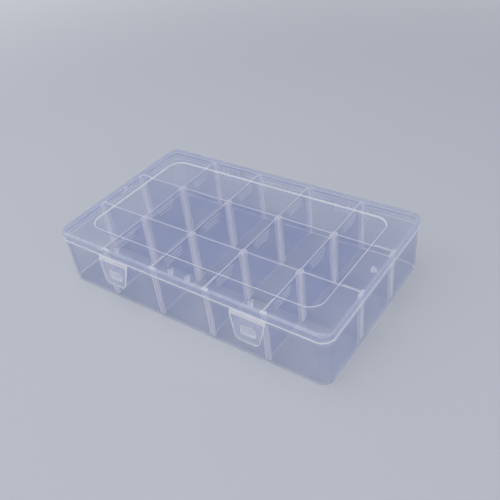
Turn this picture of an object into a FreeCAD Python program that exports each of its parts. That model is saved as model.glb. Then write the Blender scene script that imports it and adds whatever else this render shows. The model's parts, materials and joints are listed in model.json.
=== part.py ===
import FreeCAD, Part
import math
import os

# A clear polypropylene organizer box: one tray with fifteen compartments, twelve lift-out
# cross dividers, one lid hinged along the back edge, and two flap latches on the front.
# Millimetres. X runs along the box, Y to the back, Z up. The origin is the middle of the
# tray's underside.

# Whole box
lid_length = 275.4
lid_width = 165.4
box_height = 55.5
lid_corner_radius = 11.0

# Lid
lid_wall = 1.1
lid_plate = 0.9
lid_edge_radius = 2.4
skirt_depth = 8.6
panel_inset = 20.7
panel_recess = 1.3
panel_corner_radius = 13.0

# Locating pegs under the lid
peg_reach = 3.3
peg_corner_radius = 0.9
peg_drop = 3.2
peg_setback = 5.8
outer_peg_spread = 138.0
inner_peg_spread = 17.4

# Tray walls and floor
rim_gap = 0.5
rim_drop = 3.2
wall = 1.5
wall_taper = 0.5
floor_thickness = 1.6
foot_corner_radius = 8.8
foot_chamfer = 0.7

# Flange under the skirt
skirt_gap = 0.3
flange_setback = 0.5
flange_depth = 2.6

# Partitions, posts and dividers
column_pitch = 54.3
row_pitch = 54.0
column_count = 5
partition_thickness = 1.3
lid_play = 0.25
ear_play = 0.3
ear_thickness = 1.0
ear_setback = 1.4
ear_slope = 0.4
ear_shoulder = 0.8
post_rib = 1.4
post_depth = 2.8
end_post_width = 8.0
end_post_depth = 1.6
post_drop = 0.5
divider_thickness = 1.2
slide_play = 0.15
end_play = 0.25

# Grip ribs on the dividers
grip_count = 3
grip_radius = 0.5
grip_sink = 0.1
grip_first_drop = 4.1
grip_pitch = 3.1
grip_length = 24.0
grip_shortening = 2.4

# Hinges at the back
hinge_spread = 140.0
hinge_zone = 49.6
hinge_drop = 19.8
hinge_reach = 1.6
pin_radius = 1.5
pin_play = 0.05
lug_thickness = 1.5
lug_rim = 1.4
lug_root_rise = 10.2
inner_lug_spread = 5.4
outer_lug_spread = 31.8
clip_wall = 1.5
clip_play = 0.35
clip_mouth = 2.3
arm_thickness = 1.2

# Latches at the front
latch_spread = 138.4
latch_top_width = 32.8
latch_foot_width = 21.4
latch_height = 24.9
latch_corner_radius = 3.6
latch_shoulder_radius = 2.0
latch_plate = 1.5
latch_web = 0.35
latch_web_height = 0.6
latch_shoulder_drop = 2.8
latch_shoulder_reach = 1.9
latch_lean = 2.6
boss_width = 14.0
boss_height = 8.2
boss_corner_radius = 2.0
boss_drop = 16.3
boss_gap = 0.3
boss_swing_room = 1.0
catch_width = 15.0
catch_height = 3.6
catch_nose = 1.2
catch_reach = 1.2

# One overrun serves all cuts
overrun = 2.0

# Places worked out from the sizes
lid_half_x = lid_length / 2
lid_half_y = lid_width / 2
skirt_bottom = box_height - skirt_depth
lid_underside = box_height - lid_plate
panel_half_x = lid_half_x - panel_inset
panel_half_y = lid_half_y - panel_inset
panel_underside = lid_underside - panel_recess
rim_half_x = lid_half_x - lid_wall - rim_gap
rim_half_y = lid_half_y - lid_wall - rim_gap
rim_corner_radius = lid_corner_radius - lid_wall - rim_gap
rim_height = box_height - rim_drop
flange_top = skirt_bottom - skirt_gap
partition_top = panel_underside - lid_play
ear_top = lid_underside - ear_play
ear_start_x = panel_half_x + lid_plate + ear_setback
ear_start_y = panel_half_y + lid_plate + ear_setback
partition_offset = row_pitch / 2
groove_width = divider_thickness + 2 * slide_play
post_width = groove_width + 2 * post_rib
post_top = partition_top - post_drop
pin_y = lid_half_y + hinge_reach
pin_z = box_height - hinge_drop
hinge_offset = hinge_spread / 2
latch_offset = latch_spread / 2
UP = FreeCAD.Vector(0, 0, 1)
RIGHT = FreeCAD.Vector(1, 0, 0)
BACK = FreeCAD.Vector(0, 1, 0)


def point(x, y, z):
    return FreeCAD.Vector(x, y, z)


def rounded_wire(half_x, half_y, radius, z):
    """A rectangle with round corners, centred on the origin at height z."""
    edges = []
    ends = []
    for quarter, (side_x, side_y) in enumerate(((1, 1), (-1, 1), (-1, -1), (1, -1))):
        centre = point(side_x * (half_x - radius), side_y * (half_y - radius), z)
        angles = [math.radians(90 * quarter + step) for step in (0, 45, 90)]
        arc = [centre + radius * point(math.cos(a), math.sin(a), 0) for a in angles]
        edges.append(Part.Arc(*arc).toShape())
        ends.append((arc[0], arc[2]))
    sides = []
    for quarter in range(4):
        start = ends[quarter][1]
        finish = ends[(quarter + 1) % 4][0]
        sides.append(Part.LineSegment(start, finish).toShape())
    ordered = [edge for pair in zip(edges, sides) for edge in pair]
    return Part.Wire(ordered)


def rounded_prism(half_x, half_y, radius, z_low, z_high):
    face = Part.Face(rounded_wire(half_x, half_y, radius, z_low))
    return face.extrude(UP * (z_high - z_low))


def box(x_low, x_high, y_low, y_high, z_low, z_high):
    size = (x_high - x_low, y_high - y_low, z_high - z_low)
    return Part.makeBox(*size, point(x_low, y_low, z_low))


def plate_yz(outline, x_middle, thickness):
    """A flat plate whose outline is given as (y, z) points."""
    corners = [point(x_middle - thickness / 2, y, z) for y, z in outline]
    face = Part.Face(Part.makePolygon(corners + corners[:1]))
    return face.extrude(RIGHT * thickness)


def plate_xz(outline, y_middle, thickness):
    """A flat plate whose outline is given as (x, z) points."""
    corners = [point(x, y_middle - thickness / 2, z) for x, z in outline]
    face = Part.Face(Part.makePolygon(corners + corners[:1]))
    return face.extrude(BACK * thickness)


def fuse(pieces):
    return pieces[0].multiFuse(pieces[1:]).removeSplitter()


def mirrored_x(shape):
    return shape.mirror(point(0, 0, 0), RIGHT)


def mirrored_y(shape):
    return shape.mirror(point(0, 0, 0), BACK)


def rounded_edges(shape, radius, wanted):
    edges = [edge for edge in shape.Edges if wanted(edge)]
    return shape.makeFillet(radius, edges)


def wall_half(rim_half, z):
    """Half the outside size of the tapered tray at height z."""
    return rim_half - wall_taper * (1 - z / rim_height)


def inner_half_x(z):
    return wall_half(rim_half_x, z) - wall


def inner_half_y(z):
    return wall_half(rim_half_y, z) - wall


# Tray

def tray_outside():
    foot_x = wall_half(rim_half_x, 0)
    foot_y = wall_half(rim_half_y, 0)
    edge_x = wall_half(rim_half_x, foot_chamfer)
    edge_y = wall_half(rim_half_y, foot_chamfer)
    inner_radius = foot_corner_radius - foot_chamfer
    low = rounded_wire(foot_x - foot_chamfer, foot_y - foot_chamfer, inner_radius, 0)
    edge = rounded_wire(edge_x, edge_y, foot_corner_radius, foot_chamfer)
    top = rounded_wire(rim_half_x, rim_half_y, rim_corner_radius, rim_height)
    skin = Part.makeLoft([low, edge], True, True)
    return skin.fuse(Part.makeLoft([edge, top], True, True)).removeSplitter()


def tray_inside():
    low_radius = foot_corner_radius - wall
    high_radius = rim_corner_radius - wall
    low_x = inner_half_x(floor_thickness)
    low_y = inner_half_y(floor_thickness)
    high_z = rim_height + overrun
    low = rounded_wire(low_x, low_y, low_radius, floor_thickness)
    high = rounded_wire(inner_half_x(high_z), inner_half_y(high_z), high_radius, high_z)
    return Part.makeLoft([low, high], True, True)


def tray_flange():
    """The ledge that the lid's skirt comes down to, open at the hinges."""
    half_x = lid_half_x - flange_setback
    half_y = lid_half_y - flange_setback
    low = flange_top - flange_depth
    flange = rounded_prism(half_x, half_y, lid_corner_radius - flange_setback, low, flange_top)
    for side in (-1, 1):
        low_x = side * hinge_offset - hinge_zone / 2
        zone = box(low_x, low_x + hinge_zone, 0, half_y + overrun, low - overrun, flange_top + overrun)
        flange = flange.cut(zone)
    return flange


def partition():
    """One fixed lengthwise partition with the raised ears at its ends."""
    end_low = inner_half_x(floor_thickness) + wall / 2
    end_top = inner_half_x(partition_top) + wall / 2
    body = [(-end_low, floor_thickness / 2), (end_low, floor_thickness / 2),
            (end_top, partition_top), (-end_top, partition_top)]
    pieces = [plate_xz(body, 0, partition_thickness)]
    ear_end = inner_half_x(rim_height) - ear_shoulder
    ear = [(ear_start_x, partition_top - wall), (end_top, partition_top - wall),
           (end_top, rim_height), (ear_end + ear_shoulder, rim_height),
           (ear_end, ear_top - ear_slope), (ear_start_x, ear_top)]
    ear_plate = plate_xz(ear, 0, ear_thickness)
    pieces += [ear_plate, mirrored_x(ear_plate)]
    foot = inner_half_x(floor_thickness)
    head = inner_half_x(post_top)
    end_post = [(foot + wall / 2, floor_thickness / 2), (foot - end_post_depth, floor_thickness / 2),
                (head - end_post_depth, post_top), (head + wall / 2, post_top)]
    post = plate_xz(end_post, 0, end_post_width)
    pieces += [post, mirrored_x(post)]
    return fuse(pieces)


def post_ribs(outline, x_middle):
    """Two ribs with the divider's groove between them."""
    shift = (groove_width + post_rib) / 2
    return [plate_yz(outline, x_middle + side * shift, post_rib) for side in (-1, 1)]


def wall_post(x_middle):
    """The guide on the back wall that holds the outer end of a divider."""
    foot = inner_half_y(floor_thickness)
    head = inner_half_y(post_top)
    outline = [(foot + wall / 2, floor_thickness / 2), (foot - post_depth, floor_thickness / 2),
               (head - post_depth, post_top), (head + wall / 2, post_top)]
    return post_ribs(outline, x_middle)


def partition_post(x_middle):
    """The guides on both faces of a partition, about its middle plane."""
    reach = partition_thickness / 2 + post_depth
    outline = [(-reach, floor_thickness / 2), (reach, floor_thickness / 2), (reach, post_top), (-reach, post_top)]
    return post_ribs(outline, x_middle)


def divider_places():
    first = -(column_count - 2) * column_pitch / 2
    return [first + number * column_pitch for number in range(column_count - 1)]


def hinge_lug(x_middle):
    """A rib on the back wall whose round end holds the hinge pin."""
    reach = pin_radius + lug_rim
    root_y = wall_half(rim_half_y, pin_z) - wall / 2
    root = [(root_y, pin_z - reach), (pin_y, pin_z - reach), (pin_y, pin_z + reach),
            (root_y + wall, pin_z + lug_root_rise), (root_y, pin_z + lug_root_rise)]
    rib = plate_yz(root, x_middle, lug_thickness)
    start = point(x_middle - lug_thickness / 2, pin_y, pin_z)
    return rib.fuse(Part.makeCylinder(reach, lug_thickness, start, RIGHT))


def hinge_base(x_middle):
    """Four lugs and the two pins between them, moulded on the tray."""
    lugs = []
    for spread in (inner_lug_spread, outer_lug_spread):
        for side in (-1, 1):
            lugs.append(hinge_lug(x_middle + side * spread / 2))
    for side in (-1, 1):
        middle = x_middle + side * (inner_lug_spread + outer_lug_spread) / 4
        length = (outer_lug_spread - inner_lug_spread) / 2
        start = point(middle - length / 2, pin_y, pin_z)
        lugs.append(Part.makeCylinder(pin_radius, length, start, RIGHT))
    return lugs


def latch_line(z):
    """The y of the closed flap's front face at height z."""
    shoulder_y = -lid_half_y - latch_shoulder_reach
    shoulder_z = flange_top - latch_shoulder_drop
    fall = (shoulder_z - z) / (latch_height - latch_shoulder_drop)
    return shoulder_y - latch_lean * fall


def boss_top():
    return flange_top - boss_drop + boss_height / 2 + latch_web_height


def boss_face():
    """The y of the boss's flat inner face, which has to swing up past the flange."""
    return -(lid_half_y - flange_setback) - boss_swing_room


def catch(x_middle):
    """The ledge on the front wall over the flap's boss, sloped on top."""
    low = boss_top() + boss_gap
    high = low + catch_height
    root = -wall_half(rim_half_y, low) + wall / 2
    face = -wall_half(rim_half_y, low) - catch_reach
    outline = [(root, low), (face, low), (face, low + catch_nose), (root, high)]
    return plate_yz(outline, x_middle, catch_width)


def base_tray():
    shell = tray_outside().fuse(tray_flange()).cut(tray_inside())
    pieces = []
    for side in (-1, 1):
        wall_plate = partition()
        wall_plate.translate(BACK * (side * partition_offset))
        pieces.append(wall_plate)
        pieces += hinge_base(side * hinge_offset)
        pieces.append(catch(side * latch_offset))
    for x_middle in divider_places():
        back_posts = wall_post(x_middle)
        pieces += back_posts + [mirrored_y(rib) for rib in back_posts]
        for side in (-1, 1):
            for rib in partition_post(x_middle):
                rib.translate(BACK * (side * partition_offset))
                pieces.append(rib)
    return fuse([shell] + pieces)


# Dividers

def grip_ribs(y_middle):
    """Three short ribs near the top of a divider, on both of its faces."""
    ribs = []
    for number in range(grip_count):
        z = partition_top - grip_first_drop - number * grip_pitch
        length = grip_length - number * grip_shortening
        for side in (-1, 1):
            x = side * (divider_thickness / 2 - grip_sink)
            start = point(x, y_middle - length / 2, z)
            ribs.append(Part.makeCylinder(grip_radius, length, start, BACK))
    return ribs


def middle_divider():
    """A divider between the two partitions."""
    half = partition_offset - partition_thickness / 2 - end_play
    outline = [(-half, floor_thickness), (half, floor_thickness), (half, partition_top), (-half, partition_top)]
    return fuse([plate_yz(outline, 0, divider_thickness)] + grip_ribs(0))


def back_divider():
    """A divider from a partition to the tapered back wall, with its raised ear."""
    inner = partition_offset + partition_thickness / 2 + end_play
    outer_low = inner_half_y(floor_thickness) - end_play
    outer_top = inner_half_y(partition_top) - end_play
    ear_outer = inner_half_y(rim_height) - end_play - ear_shoulder
    body = [(inner, floor_thickness), (outer_low, floor_thickness), (outer_top, partition_top), (inner, partition_top)]
    ear = [(ear_start_y, partition_top - wall), (outer_top - wall, partition_top - wall),
           (outer_top, rim_height), (ear_outer, ear_top - ear_slope), (ear_start_y, ear_top)]
    pieces = [plate_yz(body, 0, divider_thickness), plate_yz(ear, 0, ear_thickness)]
    middle = (inner + outer_top) / 2
    return fuse(pieces + grip_ribs(middle))


def dividers():
    """Each divider by its name: column one to four, then its row."""
    back = back_divider()
    rows = {"front": mirrored_y(back), "middle": middle_divider(), "back": back}
    made = {}
    for number, x_middle in enumerate(divider_places(), 1):
        for row, shape in rows.items():
            divider = shape.copy()
            divider.translate(RIGHT * x_middle)
            made["divider_%d_%s" % (number, row)] = divider
    return made


# Lid

def lid_shell():
    """Skirt and rim of the lid, with the recessed centre panel."""
    outside = rounded_prism(lid_half_x, lid_half_y, lid_corner_radius, skirt_bottom, box_height)
    outside = rounded_edges(outside, lid_edge_radius, lambda edge: edge.BoundBox.ZMin > lid_underside)
    inside_radius = lid_corner_radius - lid_wall
    inside = rounded_prism(lid_half_x - lid_wall, lid_half_y - lid_wall, inside_radius,
                           skirt_bottom - overrun, lid_underside)
    inner_round = lid_edge_radius - lid_wall
    inside = rounded_edges(inside, inner_round, lambda edge: edge.BoundBox.ZMin > skirt_bottom)
    tub = rounded_prism(panel_half_x + lid_plate, panel_half_y + lid_plate, panel_corner_radius + lid_plate,
                        panel_underside, box_height - lid_plate / 2)
    recess = rounded_prism(panel_half_x, panel_half_y, panel_corner_radius,
                           box_height - panel_recess, box_height + overrun)
    return outside.cut(inside).fuse(tub).cut(recess).removeSplitter()


def locating_peg(x, y, angle):
    """A three-cornered peg under the lid, with one corner pointing along the given angle."""
    low = lid_underside - peg_drop
    high = lid_underside + lid_plate / 2
    turns = [math.radians(angle + step) for step in (0, 120, 240)]
    corners = [point(x + peg_reach * math.cos(a), y + peg_reach * math.sin(a), low) for a in turns]
    peg = Part.Face(Part.makePolygon(corners + corners[:1])).extrude(UP * (high - low))
    return rounded_edges(peg, peg_corner_radius, lambda edge: edge.BoundBox.ZLength > peg_drop)


def lid_pegs():
    front = -(lid_half_y - lid_wall - peg_setback)
    end = lid_half_x - lid_wall - peg_setback
    pegs = [locating_peg(side * spread / 2, front, 90)
            for spread in (outer_peg_spread, inner_peg_spread) for side in (-1, 1)]
    return pegs + [locating_peg(end, 0, 0), locating_peg(-end, 0, 180)]


def hinge_clip(x_middle):
    """An arm down from the lid's back edge with an open hook round the pin."""
    clip_width = (outer_lug_spread - inner_lug_spread) / 2 - lug_thickness - 2 * clip_play
    start_x = x_middle - clip_width / 2
    outer = pin_radius + pin_play + clip_wall
    arm_front = lid_half_y - arm_thickness
    arm = box(start_x, start_x + clip_width, arm_front, lid_half_y, pin_z, skirt_bottom + lid_wall)
    axis_start = point(start_x, pin_y, pin_z)
    ring = Part.makeCylinder(outer, clip_width, axis_start, RIGHT)
    bore = Part.makeCylinder(pin_radius + pin_play, clip_width + 2 * overrun,
                             axis_start - RIGHT * overrun, RIGHT)
    mouth = box(start_x - overrun, start_x + clip_width + overrun, pin_y - clip_mouth / 2,
                pin_y + clip_mouth / 2, pin_z - outer - overrun, pin_z)
    return arm.fuse(ring).cut(bore).cut(mouth)


def lid():
    shell = lid_shell()
    clips = []
    for side in (-1, 1):
        for part_side in (-1, 1):
            middle = side * hinge_offset + part_side * (inner_lug_spread + outer_lug_spread) / 4
            clips.append(hinge_clip(middle))
    return fuse([shell] + lid_pegs() + clips)


# Latches

def latch_profile():
    """The flap seen from its end: thin web, shoulder and leaning plate."""
    web_top = flange_top
    web_low = web_top - latch_web_height
    web_in = -lid_half_y + latch_web
    shoulder_z = web_top - latch_shoulder_drop
    foot_z = web_top - latch_height
    return [(web_in, web_top), (-lid_half_y, web_top), (-lid_half_y, web_low),
            (latch_line(shoulder_z), shoulder_z), (latch_line(foot_z), foot_z),
            (latch_line(foot_z) + latch_plate, foot_z),
            (latch_line(shoulder_z) + latch_plate, shoulder_z - latch_plate / 2), (web_in, web_low)]


def latch_outline():
    """The flap seen from the front: a trapezoid with round lower corners."""
    top_z = flange_top + overrun
    shoulder_z = flange_top - latch_web_height
    foot_z = flange_top - latch_height
    half_top = latch_top_width / 2
    half_foot = latch_foot_width / 2
    y = -lid_half_y - latch_shoulder_reach - latch_lean - overrun
    corners = [(-half_foot, foot_z), (half_foot, foot_z), (half_top, shoulder_z), (half_top, top_z),
               (-half_top, top_z), (-half_top, shoulder_z)]
    points = [point(x, y, z) for x, z in corners]
    depth = latch_shoulder_reach + latch_lean + lid_wall + 2 * overrun
    body = Part.Face(Part.makePolygon(points + points[:1])).extrude(BACK * depth)

    def lower_corner(edge):
        return edge.BoundBox.YLength > depth / 2 and edge.BoundBox.ZMax < foot_z + overrun

    def shoulder_corner(edge):
        middle_z = (edge.BoundBox.ZMax + edge.BoundBox.ZMin) / 2
        return edge.BoundBox.YLength > depth / 2 and abs(middle_z - shoulder_z) < latch_web_height

    body = rounded_edges(body, latch_corner_radius, lower_corner)
    return rounded_edges(body, latch_shoulder_radius, shoulder_corner)


def latch():
    plate = plate_yz(latch_profile(), 0, latch_top_width + overrun)
    flap = plate.common(latch_outline())
    top = boss_top()
    low = top - boss_height
    inner_y = boss_face()
    outer_y = latch_line(low) - latch_plate
    block = box(-boss_width / 2, boss_width / 2, outer_y, inner_y, low, top)
    block = rounded_edges(block, boss_corner_radius, lambda edge: edge.BoundBox.YLength > latch_plate / 2)
    front = [(latch_line(z) + latch_plate / 2, z) for z in (low - overrun, top + overrun)]
    behind = [(inner_y + overrun, top + overrun), (inner_y + overrun, low - overrun)]
    block = block.common(plate_yz(front + behind, 0, boss_width))
    return fuse([flap, block])


def latches():
    shape = latch()
    made = {}
    for name, side in (("latch_left", -1), ("latch_right", 1)):
        flap = shape.copy()
        flap.translate(RIGHT * (side * latch_offset))
        made[name] = flap
    return made


def save(name, shape):
    if not shape.isValid():
        raise ValueError("%s is not a valid solid" % name)
    box_now = shape.BoundBox
    print("%-18s solids %d  volume %.0f  x %.2f..%.2f  y %.2f..%.2f  z %.2f..%.2f" % (
        name, len(shape.Solids), shape.Volume, box_now.XMin, box_now.XMax, box_now.YMin,
        box_now.YMax, box_now.ZMin, box_now.ZMax))
    shape.exportStep("parts/%s.step" % name)


os.makedirs("parts", exist_ok=True)
save("base_tray", base_tray())
save("lid", lid())
for name, shape in latches().items():
    save(name, shape)
for name, shape in dividers().items():
    save(name, shape)
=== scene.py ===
# %% [markdown]
# # A clear compartment box
#
# This lesson dresses a moulded organizer box for small craft parts: a tray with fifteen
# compartments, twelve dividers, a hinged lid and two flap latches. All of it is natural
# polypropylene, a milky clear plastic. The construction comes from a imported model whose
# sizes and places are fixed, and Blender gives every moulding its soft edges and its look.

# %% Load the fixed frame
import json
import math
import bmesh
import bpy
from mathutils import Matrix, Vector

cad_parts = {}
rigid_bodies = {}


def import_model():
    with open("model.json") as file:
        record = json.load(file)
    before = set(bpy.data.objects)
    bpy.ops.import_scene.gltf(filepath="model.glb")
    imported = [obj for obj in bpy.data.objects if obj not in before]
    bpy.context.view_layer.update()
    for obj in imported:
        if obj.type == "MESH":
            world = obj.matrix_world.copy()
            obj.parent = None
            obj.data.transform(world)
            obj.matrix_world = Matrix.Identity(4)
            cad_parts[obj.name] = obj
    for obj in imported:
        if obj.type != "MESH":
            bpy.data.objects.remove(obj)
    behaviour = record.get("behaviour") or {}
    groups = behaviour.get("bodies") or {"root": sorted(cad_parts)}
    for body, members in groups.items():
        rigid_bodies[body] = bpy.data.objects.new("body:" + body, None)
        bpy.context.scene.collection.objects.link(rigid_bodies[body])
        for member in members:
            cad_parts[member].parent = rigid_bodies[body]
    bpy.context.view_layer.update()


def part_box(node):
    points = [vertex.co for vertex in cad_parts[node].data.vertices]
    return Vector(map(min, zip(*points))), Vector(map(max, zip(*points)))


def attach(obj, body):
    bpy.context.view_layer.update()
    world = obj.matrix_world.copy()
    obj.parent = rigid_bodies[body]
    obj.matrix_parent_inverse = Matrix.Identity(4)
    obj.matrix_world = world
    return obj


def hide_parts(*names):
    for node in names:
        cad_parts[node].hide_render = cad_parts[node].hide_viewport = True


for leftover in list(bpy.data.objects):
    bpy.data.objects.remove(leftover)
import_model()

# %% [markdown]
# ## Sizes
#
# Everything below is in millimetres and turned to metres by one factor. The overall sizes
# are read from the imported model. What is smaller is a named size of the real moulding, and
# the places that follow from it are worked out, so that the pieces still meet if one changes.

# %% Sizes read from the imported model
MM = 0.001
lid_half_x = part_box("lid")[1].x / MM
lid_half_y = -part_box("lid")[0].y / MM
box_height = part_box("lid")[1].z / MM

# %% Sizes of the tray and the lid
lid_wall = 1.1
lid_plate = 0.9
lid_corner = 11.0
lid_edge = 2.4
skirt_depth = 8.6
panel_inset = 20.7
panel_recess = 1.3
panel_corner = 13.0
rim_gap = 0.5
rim_drop = 3.2
wall = 1.5
wall_taper = 0.5
floor_plate = 1.6
foot_chamfer = 0.7
skirt_gap = 0.3
flange_setback = 0.5
flange_depth = 2.6
# How far a cutting block reaches past what it cuts.
overrun = 2.0

# %% Places that follow from the sizes
skirt_bottom = box_height - skirt_depth
lid_underside = box_height - lid_plate
panel_half_x = lid_half_x - panel_inset
panel_half_y = lid_half_y - panel_inset
panel_underside = lid_underside - panel_recess
rim_half_x = lid_half_x - lid_wall - rim_gap
rim_half_y = lid_half_y - lid_wall - rim_gap
rim_corner = lid_corner - lid_wall - rim_gap
rim_height = box_height - rim_drop
inner_half_x = rim_half_x - wall
inner_half_y = rim_half_y - wall
flange_top = skirt_bottom - skirt_gap
print("heights in mm: lid %.1f, rim %.1f, skirt %.1f, ledge %.1f"
      % (box_height, rim_height, skirt_bottom, flange_top))

# %% [markdown]
# ## The plastic
#
# Natural polypropylene has no pigment. Tiny crystals in it scatter light, so a thin wall is
# clear with a cool haze, and the haze builds up where the ray runs a longer way through the
# wall. That is why a wall seen at a slant is milkier. A glass shader would bend the light at
# every wall, which a thin flat wall hardly does, and thirty walls in a row would be dark and
# noisy. So each face mixes a haze with plain see-through by the length of the ray's way, and
# has a layer of gloss over it.
#
# The haze is half Principled and half Translucent, because the crystals pass light on as
# well as back, so a wall lit from behind is as pale as one lit from the front. Most of the
# light that they scatter goes on forwards, so the walls hardly shade each other.


# %% Colours and the node helper
def linear(code):
    """A colour written as #rrggbb, turned to linear values by the sRGB standard's curve, with full alpha."""
    parts = [int(code[start:start + 2], 16) / 255 for start in (1, 3, 5)]
    dark = [part / 12.92 for part in parts]
    light = [((part + 0.055) / 1.055) ** 2.4 for part in parts]
    return [low if part <= 0.04045 else high for part, low, high in zip(parts, dark, light)] + [1.0]


def add(tree, kind, inputs=(), **settings):
    """Adds a node. Settings are its own options, and inputs pairs a socket with a value or an output."""
    made = tree.nodes.new("ShaderNode" + kind)
    for name, value in settings.items():
        setattr(made, name, value)
    for socket, value in dict(inputs).items():
        if isinstance(value, bpy.types.NodeSocket):
            tree.links.new(value, made.inputs[socket])
        else:
            made.inputs[socket].default_value = value
    return made


def new_material(name):
    material = bpy.data.materials.new(name)
    material.use_nodes = True
    material.node_tree.nodes.clear()
    return material, material.node_tree


# %% Natural polypropylene, by the share of light that one face lets through
# Flow marks: the haze varies by about a fifth over 38 mm, two thirds of a compartment's length.
cloud_size = 38.0
cloud_share = 0.22
cloud_detail = 3.0
cloud_low, cloud_high = 0.3, 0.7
# Sink marks: a cooling wall pulls in by about 0.01 mm, which bends its reflections a little.
wave_size = 11.0
wave_height = 0.012
wave_detail = 1.0
# The haze, and how much of it the light of a lamp meets on its way through a wall.
plastic_ior = 1.49
haze_roughness = 0.5
onward_share = 0.5
least_cosine = 0.12
forward_share = 0.15
# The gloss of a smooth plastic: 4% seen straight on, and much more at a low angle.
mirror_least, mirror_most = 0.04, 0.7
mirror_power = 5.0
white = (1, 1, 1, 1)


def polypropylene(name, milk, clear_share, roughness):
    """Injection moulded natural polypropylene, with faint clouds and a faint waviness."""
    material, tree = new_material(name)
    place = add(tree, "TexCoord").outputs["Object"]
    clouds = add(tree, "TexNoise", {"Vector": place, "Scale": 1 / (cloud_size * MM), "Detail": cloud_detail})
    spread = (1 - clear_share) * cloud_share
    clear = add(tree, "MapRange", {"Value": clouds.outputs["Fac"], "From Min": cloud_low,
                                   "From Max": cloud_high, "To Min": clear_share - spread,
                                   "To Max": clear_share + spread})
    # At a blend of 0.5, Facing is one less the cosine of the angle between the ray and the normal.
    facing = add(tree, "LayerWeight", {"Blend": 0.5})
    cosine = add(tree, "Math", {0: 1.0, 1: facing.outputs["Facing"]}, operation="SUBTRACT")
    least = add(tree, "Math", {0: cosine.outputs[0], 1: least_cosine}, operation="MAXIMUM")
    way = add(tree, "Math", {0: 1.0, 1: least.outputs[0]}, operation="DIVIDE")
    passed = add(tree, "Math", {0: clear.outputs[0], 1: way.outputs[0]}, operation="POWER")
    cover = add(tree, "Math", {0: 1.0, 1: passed.outputs[0]}, operation="SUBTRACT")
    ray = add(tree, "LightPath")
    lamp_ray = add(tree, "Math", {0: ray.outputs["Is Shadow Ray"], 1: ray.outputs["Is Diffuse Ray"]},
                   operation="MAXIMUM")
    forward = add(tree, "MapRange", {"Value": lamp_ray.outputs[0], "To Min": 1.0, "To Max": forward_share})
    alpha = add(tree, "Math", {0: cover.outputs[0], 1: forward.outputs[0]}, operation="MULTIPLY")
    waves = add(tree, "TexNoise", {"Vector": place, "Scale": 1 / (wave_size * MM), "Detail": wave_detail})
    bump = add(tree, "Bump", {"Height": waves.outputs["Fac"], "Distance": wave_height * MM, "Strength": 1.0})
    back = add(tree, "BsdfPrincipled", {"Base Color": linear(milk), "Roughness": haze_roughness,
                                        "IOR": plastic_ior, "Normal": bump.outputs[0]})
    onward = add(tree, "BsdfTranslucent", {"Color": linear(milk)})
    haze = add(tree, "MixShader", {0: onward_share, 1: back.outputs[0], 2: onward.outputs[0]})
    see_through = add(tree, "BsdfTransparent", {"Color": white})
    hazy = add(tree, "MixShader", {0: alpha.outputs[0], 1: see_through.outputs[0], 2: haze.outputs[0]})
    gloss = add(tree, "BsdfGlossy", {"Color": white, "Roughness": roughness, "Normal": bump.outputs[0]})
    grazing = add(tree, "Math", {0: facing.outputs["Facing"], 1: mirror_power}, operation="POWER")
    mirror = add(tree, "MapRange", {"Value": grazing.outputs[0], "To Min": mirror_least,
                                    "To Max": mirror_most})
    surface = add(tree, "MixShader", {0: mirror.outputs[0], 1: hazy.outputs[0], 2: gloss.outputs[0]})
    add(tree, "OutputMaterial", {"Surface": surface.outputs[0]})
    return material


# %% [markdown]
# ## Five finishes of one plastic
#
# The box is one plastic, injection moulded, and its look changes with the thickness and with
# the steel of the mould. One material could work the thickness out from the shape, but the
# eye mostly sees where a wall, an edge or a post is, so each face gets one of five finishes
# of the same make. Their numbers are the haze's colour, the share of light that one face
# lets straight through, and the roughness that the polished steel left. The white edge
# finish is painted light, a glow on rims and rounded edges, and the milkier finishes are
# also painted on some narrow faces as glow and highlight lines.

# %% The five finishes
WALL, EDGE, THICK_AND_GLOW, BORDER, FLAP = range(5)
plastics = [
    # Plates of about 1 mm moulded against polished steel: nearly clear, with a cool blue haze.
    polypropylene("polypropylene_wall", "#748bc9", 0.935, 0.12),
    # Rims and rounded edges, painted white and less clear: a painted glow that stands in for light that ran
    # along inside a wall and comes out there.
    polypropylene("polypropylene_painted_edge_glow", "#ffffff", 0.28, 0.22),
    # Posts, ribs and hooks of more than 2 mm: the haze adds up to a soft, almost warm white. The same finish
    # is painted on the tops of thin plates, the recess's sides and the flap's shoulder as painted glow and
    # highlight lines.
    polypropylene("polypropylene_thick_and_glow", "#f5f2f9", 0.40, 0.18),
    # The lid's skirt, which hides the tray's rim: a little milkier than a single plain wall. On the lid's
    # rounded top edge and the tray rim's top face it is a painted highlight line.
    polypropylene("polypropylene_border", "#c8d0f0", 0.89, 0.12),
    # The flaps, moulded against finely blasted steel: milkier, with a softer, wider gloss.
    polypropylene("polypropylene_flap", "#d6daf0", 0.80, 0.16),
]
print("finishes", [plastic.name for plastic in plastics])

# %% [markdown]
# ## A few tools for the bench
#
# Each piece starts as a block or a rod at its real place and is shaped in edit mode. An
# operator acts on everything that is selected, so one helper opens a piece with only the
# wanted edges or faces selected. Edges are softened while an element is still simple, and
# then the elements are fused, so that a clear piece has no hidden walls inside it: they
# would show through. The rounded edges are painted with the white edge finish of the same
# plastic, a painted glow for the light that runs along inside a wall and comes out where
# the wall ends.


# %% Blocks and rods
def select_only(*pieces):
    bpy.ops.object.select_all(action="DESELECT")
    for piece in pieces:
        piece.select_set(True)
    bpy.context.view_layer.objects.active = pieces[0]


def settle(piece, finish=WALL):
    """Puts a piece's place and size into its mesh, with its object at the origin, and paints it."""
    select_only(piece)
    bpy.ops.object.transform_apply(location=True, rotation=True, scale=True)
    for plastic in plastics:
        piece.data.materials.append(plastic)
    for face in piece.data.polygons:
        face.material_index = finish
    return piece


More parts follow.
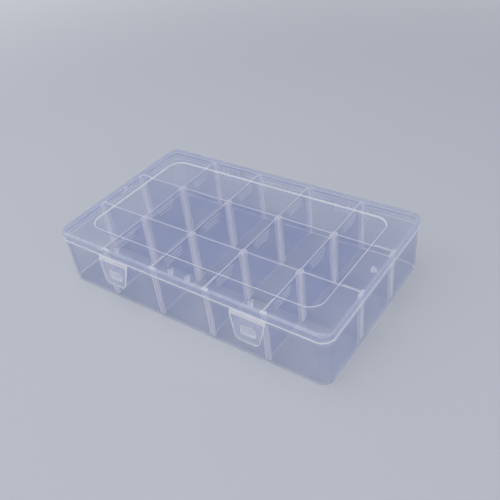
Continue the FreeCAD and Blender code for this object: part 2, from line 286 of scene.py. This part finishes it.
def block(x_low, x_high, y_low, y_high, z_low, z_high, finish=WALL):
    bpy.ops.object.select_all(action="DESELECT")
    middle = Vector((x_low + x_high, y_low + y_high, z_low + z_high)) / 2 * MM
    bpy.ops.mesh.primitive_cube_add(size=MM, location=middle)
    piece = bpy.context.active_object
    piece.scale = (x_high - x_low, y_high - y_low, z_high - z_low)
    return settle(piece, finish)


def rod(middle, length, radius, along, sides=24, finish=WALL, turn=0):
    """A rod about a middle point, along X or Y, or upright and turned by an angle in degrees."""
    turns = {"X": (0, math.pi / 2, 0), "Y": (math.pi / 2, 0, 0), "Z": (0, 0, math.radians(turn))}
    bpy.ops.object.select_all(action="DESELECT")
    bpy.ops.mesh.primitive_cylinder_add(vertices=sides, radius=radius * MM, depth=length * MM,
                                        location=Vector(middle) * MM, rotation=turns[along])
    return settle(bpy.context.active_object, finish)


# %% Picking vertices, edges and faces
# The share of an edge's length that lies along an axis, if the edge runs that way.
mostly = 0.9
# The share of a normal along an axis: for a face square to it, and for one within 60 degrees.
square, leaning = 0.99, 0.5


def edit(piece, kind, wanted):
    """Opens a piece in edit mode with only the wanted vertices, edges or faces selected."""
    select_only(piece)
    bpy.ops.object.mode_set(mode="EDIT")
    bpy.ops.mesh.select_mode(type=kind)
    bpy.ops.mesh.select_all(action="DESELECT")
    shape = bmesh.from_edit_mesh(piece.data)
    for element in {"VERT": shape.verts, "EDGE": shape.edges, "FACE": shape.faces}[kind]:
        if wanted(element):
            element.select_set(True)
    shape.select_flush_mode()
    bmesh.update_edit_mesh(piece.data)


def done():
    bpy.ops.object.mode_set(mode="OBJECT")


def near(value, level, slack=0.05):
    """Whether a value in metres is at a level in millimetres, give or take the slack."""
    return abs(value / MM - level) < slack


def everything(element):
    return True


def faces_up(face):
    return face.normal.z > leaning


def faces_out(face):
    """Picks the upright faces of a block, all the way round."""
    return abs(face.normal.z) < leaning


def faces_aside(face):
    """Picks the narrow faces round a plate that is seen from the front."""
    return abs(face.normal.y) < leaning


def at_height(z):
    """Picks vertices or edges that lie at a height."""
    def wanted(element):
        return all(near(vertex.co.z, z) for vertex in getattr(element, "verts", [element]))
    return wanted


def runs_along(axis):
    """Picks the straight edges that run along an axis: 0 for X, 1 for Y, 2 for Z."""
    def wanted(edge):
        step = edge.verts[0].co - edge.verts[1].co
        return abs(step[axis]) > mostly * step.length
    return wanted


# %% Shaping and painting a piece
soft_steps = 2
sharp_angle = math.radians(40)


def round_off(piece, wanted, radius, steps, finish=-1):
    """Bevels the wanted edges. The new faces keep their neighbours' finish unless one is given."""
    edit(piece, "EDGE", wanted)
    bpy.ops.mesh.bevel(offset=radius * MM, segments=steps, affect="EDGES", material=finish)
    done()
    return piece


def shift(piece, wanted, x=0, y=0, z=0):
    """Moves the wanted vertices of a piece."""
    edit(piece, "VERT", wanted)
    bpy.ops.transform.translate(value=Vector((x, y, z)) * MM)
    done()
    return piece


def narrow(piece, wanted, share_x, share_y=1):
    """Scales the wanted vertices about the box's middle."""
    edit(piece, "VERT", wanted)
    bpy.ops.transform.resize(value=(share_x, share_y, 1), center_override=(0, 0, 0))
    done()
    return piece


def rounded_block(half_x, half_y, radius, z_low, z_high, steps=10):
    """A block about the middle of the box, with round upright corners."""
    piece = block(-half_x, half_x, -half_y, half_y, z_low, z_high)
    return round_off(piece, runs_along(2), radius, steps)


def paint(piece, wanted, finish):
    """Gives the wanted faces another finish."""
    for face in piece.data.polygons:
        if wanted(face):
            face.material_index = finish
    return piece


def soften(piece, width):
    """Rounds every sharp edge a little, as a moulding tool leaves it, and paints the rounding with the white
    edge finish: a painted glow.
    """
    select_only(piece)
    bevel = piece.modifiers.new("soft edges", "BEVEL")
    bevel.width = width * MM
    bevel.segments = soft_steps
    bevel.limit_method = "ANGLE"
    bevel.angle_limit = sharp_angle
    bevel.material = EDGE
    bpy.ops.object.modifier_apply(modifier=bevel.name)
    return piece


# %% Joining, fusing, cutting and copying
def joined(pieces):
    """Several pieces that don't touch, as one object."""
    select_only(*pieces)
    bpy.ops.object.join()
    return bpy.context.active_object


def combine(piece, tools, operation):
    """Fuses other pieces with a piece, or cuts them away, and removes them."""
    for tool in tools:
        select_only(piece)
        change = piece.modifiers.new("combine", "BOOLEAN")
        change.operation = operation
        change.solver = "MANIFOLD"
        change.object = tool
        bpy.ops.object.modifier_apply(modifier=change.name)
        bpy.data.objects.remove(tool)
    return piece


def fuse(piece, *tools):
    return combine(piece, tools, "UNION")


def cut(piece, *tools):
    return combine(piece, tools, "DIFFERENCE")


def copy_of(piece, x=0, mirror_y=False):
    """A copy with its own mesh, moved along X or mirrored from back to front."""
    twin = piece.copy()
    twin.data = piece.data.copy()
    bpy.context.collection.objects.link(twin)
    if mirror_y:
        twin.data.transform(Matrix.Diagonal((1, -1, 1, 1)))
        twin.data.flip_normals()
    twin.data.transform(Matrix.Translation((x * MM, 0, 0)))
    return twin


# %% [markdown]
# ## Putting a finished moulding in its place
#
# The last steps are the same for every moulding. Rounded faces are shaded smooth, and faces
# that lie square to an axis are shaded flat: a large wall with a small part fused to it
# would otherwise show smears, because its shading would lean towards that part.
#
# A boolean that fails gives no error, only a mesh with something lost. So each moulding is
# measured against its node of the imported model, and the script stops if it isn't closed or
# if its box or volume strays. Then it rides on its body and stands for that node.

# %% Measuring a piece
box_slack = 0.2
volume_slack = 0.03
square_to_axis = 0.9995
smooth_angle = math.radians(50)


def measure(piece):
    """The volume of a mesh in cubic millimetres, and how many of its edges aren't closed."""
    shape = bmesh.new()
    shape.from_mesh(piece.data)
    volume = shape.calc_volume(signed=True) / MM ** 3
    open_edges = sum(1 for edge in shape.edges if len(edge.link_faces) != 2)
    shape.free()
    return volume, open_edges


def piece_box(piece):
    places = [vertex.co for vertex in piece.data.vertices]
    return [[pick(place[axis] for place in places) for axis in range(3)] for pick in (min, max)]


def compare(piece, node):
    """Stops the script unless a moulding is closed and has its node's box and volume."""
    volume, open_edges = measure(piece)
    share = volume / measure(bpy.data.objects[node])[0]
    corners = zip(piece_box(piece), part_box(node))
    stray = max(abs(made[axis] - packed[axis]) / MM for made, packed in corners for axis in range(3))
    print(piece.name, "faces", len(piece.data.polygons), "open edges", open_edges,
          "volume share %.4f" % share, "box within %.2f mm" % stray)
    if open_edges or abs(share - 1) > volume_slack or stray > box_slack:
        raise ValueError("%s doesn't match its node %s" % (piece.name, node))


# %% The last steps for each moulding
least_edge = 0.002


def finish_moulding(piece, name, node, body):
    piece.name = piece.data.name = name
    edit(piece, "VERT", everything)
    bpy.ops.mesh.dissolve_degenerate(threshold=least_edge * MM)
    done()
    compare(piece, node)
    select_only(piece)
    bpy.ops.object.shade_smooth_by_angle(angle=smooth_angle)
    for face in piece.data.polygons:
        if max(abs(share) for share in face.normal) > square_to_axis:
            face.use_smooth = False
    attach(piece, body)
    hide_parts(node)


# %% [markdown]
# ## Tray shell
#
# The tray narrows a little towards its foot so that it leaves its mould. A ledge runs round
# it under the lid's skirt and stops at the hinges. One block could be inset and pushed down,
# but the hollow has corners of another radius and a taper of its own. So the outside and the
# hollow are two blocks with round corners, and the second is cut out of the first.
#
# The foot glows in a thin line, because light that runs down inside the wall comes out at
# its lower end. That glow is painted: the outside is bisected just above the foot, and the
# strip below gets the white edge finish.

# %% Tray shell
hinge_spread = 140.0
hinge_zone = 49.6
shell_edge = 0.3
painted_foot_glow = 0.5


def tray_shell():
    shell = rounded_block(rim_half_x, rim_half_y, rim_corner, 0, rim_height)
    narrow(shell, at_height(0), 1 - wall_taper / rim_half_x, 1 - wall_taper / rim_half_y)
    round_off(shell, at_height(0), foot_chamfer, steps=2)
    painted_glow_top = foot_chamfer + painted_foot_glow
    edit(shell, "FACE", everything)
    bpy.ops.mesh.bisect(plane_co=(0, 0, painted_glow_top * MM), plane_no=(0, 0, 1))
    done()
    # Painted glow: the strip at the foot gets the white edge finish.
    paint(shell, lambda face: face.center.z < painted_glow_top * MM and face.normal.z > -square, EDGE)
    flange = rounded_block(lid_half_x - flange_setback, lid_half_y - flange_setback,
                           lid_corner - flange_setback, flange_top - flange_depth, flange_top)
    for side in (-1, 1):
        middle = side * hinge_spread / 2
        cut(flange, block(middle - hinge_zone / 2, middle + hinge_zone / 2, 0, lid_half_y + overrun,
                          flange_top - flange_depth - overrun, flange_top + overrun))
    fuse(shell, flange)
    inside = rounded_block(inner_half_x, inner_half_y, rim_corner - wall, floor_plate, rim_height + overrun)
    narrow(inside, at_height(floor_plate), 1 - wall_taper / inner_half_x, 1 - wall_taper / inner_half_y)
    cut(shell, inside)
    # Painted glow line: the rim's top face gets the milkier border finish.
    paint(shell, lambda face: near(face.center.z, rim_height), BORDER)
    return soften(shell, shell_edge)


# %% [markdown]
# ## Partitions and guide ribs
#
# Two fixed partitions run the length of the tray. Their ends rise into ears under the lid's
# raised border. Pairs of ribs on the partitions and on the long walls make the grooves that
# hold the dividers, and such thick places look milkier than the walls.
#
# They could be extruded from the tray's floor, but then every edge would have to be found
# again among hundreds to be softened. As separate blocks they are softened while they have
# twelve edges each, and a union then melts them into the tray.

# %% Partitions and guide ribs
column_pitch = 54.3
row_pitch = 54.0
partition_plate = 1.3
ear_plate = 1.0
ear_setback = 1.4
ear_slope = 0.4
ear_shoulder = 0.8
ear_tip = 1.0
ear_play = 0.3
lid_play = 0.25
groove_width = 1.5
post_rib = 1.4
post_depth = 2.8
post_drop = 0.5
end_post_width = 8.0
end_post_depth = 1.6
plate_edge = 0.3
partition_y = row_pitch / 2
partition_top = panel_underside - lid_play
ear_top = lid_underside - ear_play
ear_start_x = panel_half_x + lid_plate + ear_setback
ear_start_y = panel_half_y + lid_plate + ear_setback
post_top = partition_top - post_drop
divider_places = [column_pitch * step for step in (-1.5, -0.5, 0.5, 1.5)]
print("dividers at x", [round(place, 2) for place in divider_places], "partitions at y", partition_y)


def shape_ear(ear, axis, end):
    """Slopes an ear's top down towards its outer end, and rounds the corner there."""
    shift(ear, lambda vertex: near(vertex.co[axis], end) and near(vertex.co.z, ear_top), z=-ear_slope)
    tip = ear_top - ear_slope
    round_off(ear, lambda edge: all(near(vertex.co[axis], end) and near(vertex.co.z, tip)
                                    for vertex in edge.verts), ear_tip, steps=3)
    # Painted glow line: the ear's top gets the white edge finish.
    return soften(paint(ear, faces_up, EDGE), plate_edge)


def partition(y):
    end = inner_half_x + wall / 2
    plate = block(-end, end, y - partition_plate / 2, y + partition_plate / 2, floor_plate / 2, partition_top)
    # Painted glow line: the plate's top face gets the milky thick finish.
    soften(paint(plate, faces_up, THICK_AND_GLOW), plate_edge)
    for side in (-1, 1):
        outer = side * (inner_half_x - ear_shoulder)
        ear = block(*sorted((side * ear_start_x, outer)), y - ear_plate / 2, y + ear_plate / 2,
                    partition_top - wall, ear_top, THICK_AND_GLOW)
        shape_ear(ear, 0, outer)
        ends = sorted((side * (inner_half_x - end_post_depth), side * end))
        post = block(*ends, y - end_post_width / 2, y + end_post_width / 2, floor_plate / 2, post_top, THICK_AND_GLOW)
        shift(post, at_height(floor_plate / 2), x=-side * wall_taper)
        fuse(plate, ear, soften(post, plate_edge))
    return plate


def guide_ribs():
    """The pairs of ribs on both long walls and on both partitions, as one group."""
    ribs = []
    reach = partition_plate / 2 + post_depth
    for x in divider_places:
        for hand in (-1, 1):
            middle = x + hand * (groove_width + post_rib) / 2
            sides = (middle - post_rib / 2, middle + post_rib / 2)
            for side in (-1, 1):
                y = side * partition_y
                ribs.append(block(*sides, y - reach, y + reach, floor_plate / 2, post_top, THICK_AND_GLOW))
                ends = sorted((side * (inner_half_y - post_depth), side * (inner_half_y + wall / 2)))
                rib = block(*sides, *ends, floor_plate / 2, post_top, THICK_AND_GLOW)
                ribs.append(shift(rib, at_height(floor_plate / 2), y=-side * wall_taper))
    return soften(joined(ribs), plate_edge)


# %% [markdown]
# ## Hinge pins and latch ledges
#
# Four ribs stand out of the back wall at each hinge, with two short pins between them that
# the lid's hooks clip over. On the front wall a small ledge, sloped on top, sits above and
# behind each flap's boss. A lug could be drawn as one outline and extruded, but a rod fused to a
# block puts its round end exactly on the pin's middle line, which the hinge turns about.

# %% Hinge pins
hinge_drop = 19.8
hinge_reach = 1.6
pin_radius = 1.5
lug_plate = 1.5
lug_rim = 1.4
lug_root_rise = 10.2
inner_lug_spread = 5.4
outer_lug_spread = 31.8
small_edge = 0.3
pin_y = lid_half_y + hinge_reach
pin_z = box_height - hinge_drop
pin_length = (outer_lug_spread - inner_lug_spread) / 2
pin_offset = (outer_lug_spread + inner_lug_spread) / 4
print("hinge line at y %.1f, z %.1f mm" % (pin_y, pin_z))


def hinge_lug(x):
    reach = pin_radius + lug_rim
    root = inner_half_y + wall / 2
    lug = block(x - lug_plate / 2, x + lug_plate / 2, root, pin_y, pin_z - reach, pin_z + reach, THICK_AND_GLOW)
    shift(lug, lambda vertex: near(vertex.co.y, root) and near(vertex.co.z, pin_z + reach),
          z=lug_root_rise - reach)
    # Painted glow: the eye round the pin gets the white edge finish all over.
    eye = rod((x, pin_y, pin_z), lug_plate, reach, "X", finish=EDGE)
    return fuse(soften(lug, small_edge), soften(eye, small_edge))


def hinge_base(x):
    places = [x + side * spread / 2 for spread in (inner_lug_spread, outer_lug_spread) for side in (-1, 1)]
    base = joined([hinge_lug(place) for place in places])
    for side in (-1, 1):
        middle = (x + side * pin_offset, pin_y, pin_z)
        fuse(base, rod(middle, pin_length, pin_radius, "X", finish=THICK_AND_GLOW))
    return base


# %% Latch ledges
latch_spread = 138.4
boss_height = 8.2
boss_drop = 16.3
boss_gap = 0.3
web_height = 0.6
catch_width = 15.0
catch_height = 3.6
catch_nose = 1.2
catch_reach = 1.2
catch_edge = 0.15
boss_top = flange_top - boss_drop + boss_height / 2 + web_height


def catch(x):
    low = boss_top + boss_gap
    top = low + catch_height
    face = -(rim_half_y + catch_reach)
    ledge = block(x - catch_width / 2, x + catch_width / 2, face, -inner_half_y - wall / 2, low, top, FLAP)
    shift(ledge, lambda vertex: near(vertex.co.y, face) and near(vertex.co.z, top),
          z=catch_nose - catch_height)
    return soften(ledge, catch_edge)


# %% The whole tray
def tray():
    piece = fuse(tray_shell(), partition(-partition_y), partition(partition_y), guide_ribs())
    for side in (-1, 1):
        fuse(piece, hinge_base(side * hinge_spread / 2), catch(side * latch_spread / 2))
    return piece


finish_moulding(tray(), "tray_moulding", "base_tray", "tray")

# %% [markdown]
# ## Dividers
#
# A divider is a plate that slides down into two grooves. Three short ribs near its top, on
# both faces, give the fingers a hold. The dividers beside the long walls have a raised ear
# at their outer end. The ribs could be bumps in the material only, but they catch the light
# from every side, so each is a thin rod sunk a little into the plate. One divider of each
# kind is modelled, and the others are copies with a mesh of their own.

# %% Dividers
divider_plate = 1.2
end_play = 0.25
# A divider stands this little above the floor, so that the two don't share a face.
seat_play = 0.02
grip_count = 3
grip_radius = 0.5
grip_sink = 0.1
grip_first_drop = 4.1
grip_pitch = 3.1
grip_length = 24.0
grip_shortening = 2.4


def grips(y):
    ribs = []
    for number in range(grip_count):
        z = partition_top - grip_first_drop - number * grip_pitch
        for side in (-1, 1):
            x = side * (divider_plate / 2 - grip_sink)
            length = grip_length - number * grip_shortening
            # The rib gets the milkier border finish, and its upper half the white edge finish: a painted
            # highlight from above.
            rib = rod((x, y, z), length, grip_radius, "Y", sides=12, finish=BORDER)
            ribs.append(paint(rib, faces_up, EDGE))
    return ribs


def middle_divider():
    half = partition_y - partition_plate / 2 - end_play
    plate = block(-divider_plate / 2, divider_plate / 2, -half, half, floor_plate + seat_play, partition_top)
    # Painted glow line: the plate's top face gets the milky thick finish.
    return fuse(soften(paint(plate, faces_up, THICK_AND_GLOW), plate_edge), *grips(0))


def back_divider():
    inner = partition_y + partition_plate / 2 + end_play
    outer = inner_half_y - end_play
    foot = floor_plate + seat_play
    plate = block(-divider_plate / 2, divider_plate / 2, inner, outer, foot, partition_top)
    shift(plate, lambda vertex: near(vertex.co.y, outer) and near(vertex.co.z, foot), y=-wall_taper)
    ear_end = outer - ear_shoulder
    ear = block(-ear_plate / 2, ear_plate / 2, ear_start_y, ear_end, partition_top - wall, ear_top, THICK_AND_GLOW)
    shape_ear(ear, 1, ear_end)
    # Painted glow line: the plate's top face gets the milky thick finish.
    soften(paint(plate, faces_up, THICK_AND_GLOW), plate_edge)
    return fuse(plate, ear, *grips((inner + outer) / 2))


shapes = {"middle": middle_divider(), "back": back_divider()}
shapes["front"] = copy_of(shapes["back"], mirror_y=True)
for number, x in enumerate(divider_places, 1):
    for row, shape in shapes.items():
        node = "divider_%d_%s" % (number, row)
        finish_moulding(copy_of(shape, x=x), "cross_" + node, node, "tray")
for shape in shapes.values():
    bpy.data.objects.remove(shape)

# %% [markdown]
# ## Lid
#
# The lid is a shallow shell with a skirt. Its middle panel is sunk by the thickness of a
# coin, which stiffens it and keeps stacked boxes in place. Small three-cornered pegs under
# the raised border sit just inside the tray's rim, and hooks behind clip over the pins.
#
# The sunk panel could be an inset that is pushed down. Here a tub hangs from the shell, and
# the recess is cut out of both with a block whose foot is round, and then with a wider one
# that leaves a shallow step. That keeps the wall even, and the recess's sides, foot and step
# are painted milky and white, a painted glow that draws the bright line round the panel: a
# slope there would be seen edge-on from the front and wouldn't show.

# %% Lid
peg_reach = 3.3
peg_corner = 0.9
peg_drop = 3.2
peg_setback = 5.8
outer_peg_spread = 138.0
inner_peg_spread = 17.4
pin_play = 0.05
clip_wall = 1.5
clip_play = 0.35
clip_mouth = 2.3
arm_plate = 1.2
recess_edge = 0.3
lip_width = 0.5
lip_depth = 0.12
corner_steps = 12
# The angle that a rod's first corner points along, in degrees.
first_corner = 90


def lid_shell():
    shell = rounded_block(lid_half_x, lid_half_y, lid_corner, skirt_bottom, box_height, corner_steps)
    round_off(shell, at_height(box_height), lid_edge, steps=5)
    # The rounded top edge and the skirt get the milkier border finish; on the rounded edge it is a painted
    # highlight.
    paint(shell, lambda face: face.normal.z < square, BORDER)
    hollow = rounded_block(lid_half_x - lid_wall, lid_half_y - lid_wall, lid_corner - lid_wall,
                           skirt_bottom - overrun, lid_underside, corner_steps)
    round_off(hollow, at_height(lid_underside), lid_edge - lid_wall, steps=4)
    paint(hollow, faces_out, BORDER)
    cut(shell, hollow)
    # Painted glow line: the skirt's lower face gets the white edge finish.
    paint(shell, lambda face: face.normal.z < -square and near(face.center.z, skirt_bottom), EDGE)
    tub = rounded_block(panel_half_x + lid_plate, panel_half_y + lid_plate, panel_corner + lid_plate,
                        panel_underside, box_height - lid_plate / 2, corner_steps)
    fuse(shell, paint(tub, faces_out, BORDER))
    return cut(shell, recess_hollow(), recess_lip())


def recess_hollow():
    """What the sunk panel leaves out. Its sides are painted milky and its rounded foot white: painted glow
    lines round the panel.
    """
    foot = box_height - panel_recess
    hollow = rounded_block(panel_half_x, panel_half_y, panel_corner, foot, box_height + overrun, corner_steps)
    paint(hollow, faces_out, THICK_AND_GLOW)
    return round_off(hollow, at_height(foot), recess_edge, steps=2, finish=EDGE)


def recess_lip():
    """A shallow flat step round the top of the recess, painted white all over: a painted glow, seen as a thin
    line from every side.
    """
    lip = rounded_block(panel_half_x + lip_width, panel_half_y + lip_width, panel_corner + lip_width,
                        box_height - lip_depth, box_height + overrun, corner_steps)
    return paint(lip, everything, EDGE)


def peg(x, y, angle):
    """A three-cornered peg, with one corner pointing along the angle in degrees."""
    height = peg_drop + lid_plate / 2
    middle = (x, y, lid_underside - peg_drop + height / 2)
    piece = rod(middle, height, peg_reach, "Z", sides=3, finish=THICK_AND_GLOW, turn=angle - first_corner)
    # Painted glow lines: the upright corners get the white edge finish.
    round_off(piece, runs_along(2), peg_corner, steps=3, finish=EDGE)
    return soften(piece, small_edge)


def hinge_clip(x):
    width = pin_length - lug_plate - 2 * clip_play
    low, high = x - width / 2, x + width / 2
    outer = pin_radius + pin_play + clip_wall
    arm = block(low, high, lid_half_y - arm_plate, lid_half_y, pin_z, skirt_bottom + lid_wall, THICK_AND_GLOW)
    # Painted glow: the hook gets the white edge finish all over.
    hook = rod((x, pin_y, pin_z), width, outer, "X", finish=EDGE)
    fuse(soften(arm, small_edge), soften(hook, small_edge))
    bore = rod((x, pin_y, pin_z), width + 2 * overrun, pin_radius + pin_play, "X", finish=THICK_AND_GLOW)
    mouth = block(low - overrun, high + overrun, pin_y - clip_mouth / 2, pin_y + clip_mouth / 2,
                  pin_z - outer - overrun, pin_z, THICK_AND_GLOW)
    return cut(arm, bore, mouth)


def lid():
    front = -(lid_half_y - lid_wall - peg_setback)
    end = lid_half_x - lid_wall - peg_setback
    spreads = (outer_peg_spread, inner_peg_spread)
    pegs = [peg(side * spread / 2, front, 90) for spread in spreads for side in (-1, 1)]
    pegs += [peg(end, 0, 0), peg(-end, 0, 180)]
    clips = [hinge_clip(side * hinge_spread / 2 + hand * pin_offset) for side in (-1, 1) for hand in (-1, 1)]
    return fuse(lid_shell(), joined(pegs), joined(clips))


finish_moulding(lid(), "lid_moulding", "lid", "lid")

# %% [markdown]
# ## Flap latches
#
# A flap hangs from the lid's skirt by a web so thin that it bends: a living hinge. Below a
# sloped shoulder the plate leans out a little, so that a fingertip gets behind its foot. On
# the real box a boss on its back snaps under the ledge on the tray. This flap is stiff and has
# to swing up past the tray's flange, so its boss stops about 1 mm short of the ledge and
# doesn't hold.
#
# Plate, shoulder and web could be three blocks fused together, but the seams would show in
# a clear piece. So the plate is one block whose foot is narrowed and leaned out, the
# shoulder is extruded from its top, and the web from the shoulder.

# %% Flap latches
flap_top_width = 32.8
flap_foot_width = 21.4
flap_height = 24.9
flap_corner = 3.6
flap_plate = 1.5
web_plate = 0.35
shoulder_drop = 2.8
shoulder_reach = 1.9
flap_lean = 2.6
boss_width = 14.0
boss_corner = 2.0
boss_swing_room = 1.0
flap_edge = 0.12


def flap_line(z):
    """The y of the closed flap's front face at height z."""
    fall = (flange_top - shoulder_drop - z) / (flap_height - shoulder_drop)
    return -lid_half_y - shoulder_reach - flap_lean * fall


def flap_plate_and_web():
    foot_z = flange_top - flap_height
    shoulder_z = flange_top - shoulder_drop
    web_low = flange_top - web_height
    half_top, half_foot = flap_top_width / 2, flap_foot_width / 2
    half_shoulder = half_foot + (half_top - half_foot) * (shoulder_z - foot_z) / (web_low - foot_z)
    front = flap_line(shoulder_z)
    back = front + flap_plate
    plate = block(-half_shoulder, half_shoulder, front, back, foot_z, shoulder_z, FLAP)
    narrow(plate, at_height(foot_z), half_foot / half_shoulder)
    shift(plate, at_height(foot_z), y=-flap_lean)
    foot_edges = runs_along(1)
    round_off(plate, lambda edge: foot_edges(edge) and at_height(foot_z)(edge), flap_corner, steps=6)
    edit(plate, "FACE", faces_up)
    bpy.ops.mesh.extrude_region_move()
    bpy.ops.transform.resize(value=(half_top / half_shoulder, 1, 1), center_override=(0, 0, 0))
    bpy.ops.transform.translate(value=Vector((0, -lid_half_y - front, web_low - shoulder_z)) * MM)
    done()
    web_back = flap_plate - lid_half_y
    shift(plate, lambda vertex: near(vertex.co.z, web_low) and near(vertex.co.y, web_back),
          y=web_plate - flap_plate)
    shift(plate, lambda vertex: near(vertex.co.z, shoulder_z) and near(vertex.co.y, back),
          z=-flap_plate / 2)
    edit(plate, "FACE", lambda face: face.normal.z > square)
    bpy.ops.mesh.extrude_region_move(TRANSFORM_OT_translate={"value": (0, 0, web_height * MM)})
    done()
    # Painted highlight and glow: the shoulder and web get the milky thick finish, and the plate's narrow
    # sides the white edge finish.
    paint(plate, lambda face: face.center.z > shoulder_z * MM, THICK_AND_GLOW)
    paint(plate, faces_aside, EDGE)
    return soften(plate, flap_edge)


def flap_boss():
    low = boss_top - boss_height
    inner_y = flange_setback - lid_half_y - boss_swing_room
    outer_y = flap_line(low) + flap_plate / 2
    boss = block(-boss_width / 2, boss_width / 2, outer_y, inner_y, low, boss_top, THICK_AND_GLOW)
    shift(boss, lambda vertex: near(vertex.co.z, boss_top) and near(vertex.co.y, outer_y),
          y=flap_line(boss_top) - flap_line(low))
    round_off(boss, runs_along(1), boss_corner, steps=5)
    # Painted glow: the boss's narrow sides get the white edge finish.
    paint(boss, faces_aside, EDGE)
    return soften(boss, small_edge)


one_flap = fuse(flap_plate_and_web(), flap_boss())
for hand, side in (("left", -1), ("right", 1)):
    node = "latch_" + hand
    finish_moulding(copy_of(one_flap, x=side * latch_spread / 2), "flap_" + hand, node, node)
bpy.data.objects.remove(one_flap)

# %% [markdown]
# ## Camera, floor and light
#
# The camera's place and lens were worked out from the straight edges of the box in the
# photograph. The box stands on a plain pale floor under large soft lamps. The key lamp is
# far wider than the box, because a small one shows in the flat lid as a hard patch.
#
# Away from the box the paper fades to the colour of the air, so that no horizon shows behind
# the clear walls. Only what the camera, a gloss or a see-through wall looks at is changed:
# the light on the box stays as the lamps and the world give it.

# %% Camera
camera_place = Vector((289.92, -342.31, 368.98)) * MM
camera_azimuth = math.radians(38.959)
camera_elevation = math.radians(37.615)
camera_roll = math.radians(-7.229)
camera_lens = 45.679
camera_sensor = 36.0
camera_clip = 0.01
bpy.ops.object.select_all(action="DESELECT")
bpy.ops.object.camera_add(location=camera_place)
camera = bpy.context.active_object
turn = (Matrix.Rotation(camera_azimuth, 3, "Z") @ Matrix.Rotation(math.pi / 2 - camera_elevation, 3, "X")
        @ Matrix.Rotation(camera_roll, 3, "Z"))
camera.rotation_euler = turn.to_euler()
camera.data.lens = camera_lens
camera.data.sensor_width = camera_sensor
camera.data.clip_start = camera_clip
bpy.context.scene.camera = camera
print("camera at", [round(value, 3) for value in camera.location], "lens", camera_lens, "mm")

# %% Floor
air_colour = "#c6c9d2"
floor_radius = 4.0
floor_sides = 96
floor_sink = 0.0002
fade_start, fade_end = 0.45, 1.3


def looked_at(tree):
    """An output that is 1 on rays that show a surface to the camera, and 0 on rays that light one."""
    ray = add(tree, "LightPath")
    direct = add(tree, "Math", {0: ray.outputs["Is Camera Ray"], 1: ray.outputs["Is Glossy Ray"]},
                 operation="MAXIMUM")
    shown = add(tree, "Math", {0: direct.outputs[0], 1: ray.outputs["Is Transmission Ray"]},
                operation="MAXIMUM")
    return shown.outputs[0]


# Uncoated paper from a roll: its fibres scatter light evenly, so the box's soft shadow shows
# on it and no lamp is mirrored in it.
paper_colour = "#b9bcc4"
paper_roughness = 0.9
paper_gloss = 0.1
floor_material, tree = new_material("matt_paper_floor")
paper = add(tree, "BsdfPrincipled", {"Base Color": linear(paper_colour), "Roughness": paper_roughness,
                                     "Specular IOR Level": paper_gloss})
place = add(tree, "TexCoord").outputs["Object"]
distance = add(tree, "VectorMath", {0: place}, operation="LENGTH")
fade = add(tree, "MapRange", {"Value": distance.outputs["Value"], "From Min": fade_start,
                              "From Max": fade_end}, interpolation_type="SMOOTHSTEP")
share = add(tree, "Math", {0: fade.outputs[0], 1: looked_at(tree)}, operation="MULTIPLY")
far_paper = add(tree, "Emission", {"Color": linear(air_colour), "Strength": 1.0})
sheet = add(tree, "MixShader", {0: share.outputs[0], 1: paper.outputs[0], 2: far_paper.outputs[0]})
add(tree, "OutputMaterial", {"Surface": sheet.outputs[0]})
bpy.ops.object.select_all(action="DESELECT")
bpy.ops.mesh.primitive_circle_add(vertices=floor_sides, radius=floor_radius, fill_type="NGON",
                                  location=(0, 0, -floor_sink))
floor = bpy.context.active_object
bpy.ops.object.transform_apply(location=True)
floor.name = "studio_floor"
floor.data.materials.append(floor_material)
print("floor", floor_radius, "m, fades from", fade_start, "to", fade_end, "m")

# %% Lamps
key_place, key_size, key_power = (-0.6, -0.5, 1.7), 2.6, 31.0
fill_place, fill_size, fill_power = (1.2, -0.6, 0.9), 1.0, 4.0


def softbox(name, place, size, power):
    """A square lamp that faces the box. Place and size are in metres, power in watts."""
    bpy.ops.object.select_all(action="DESELECT")
    bpy.ops.object.light_add(type="AREA", location=place)
    lamp = bpy.context.active_object
    lamp.name = name
    lamp.data.shape = "SQUARE"
    lamp.data.size = size
    lamp.data.energy = power
    lamp.rotation_euler = (-Vector(place)).to_track_quat("-Z", "Y").to_euler()
    print(name, size, "m wide,", power, "W")


softbox("key_softbox", key_place, key_size, key_power)
softbox("fill_softbox", fill_place, fill_size, fill_power)

# %% The air round the box
sky_colour = "#d9dbe2"
sky_strength = 0.55
walls_in_a_row = 96
world = bpy.data.worlds.new("studio_world")
bpy.context.scene.world = world
world.use_nodes = True
tree = world.node_tree
tree.nodes.clear()
light = add(tree, "Background", {"Color": linear(sky_colour), "Strength": sky_strength})
view = add(tree, "Background", {"Color": linear(air_colour), "Strength": 1.0})
air = add(tree, "MixShader", {0: looked_at(tree), 1: light.outputs[0], 2: view.outputs[0]})
add(tree, "OutputWorld", {"Surface": air.outputs[0]})

scene = bpy.context.scene
scene.view_settings.view_transform = "Standard"
scene.cycles.transparent_max_bounces = walls_in_a_row
print("a ray may pass", walls_in_a_row, "clear faces")
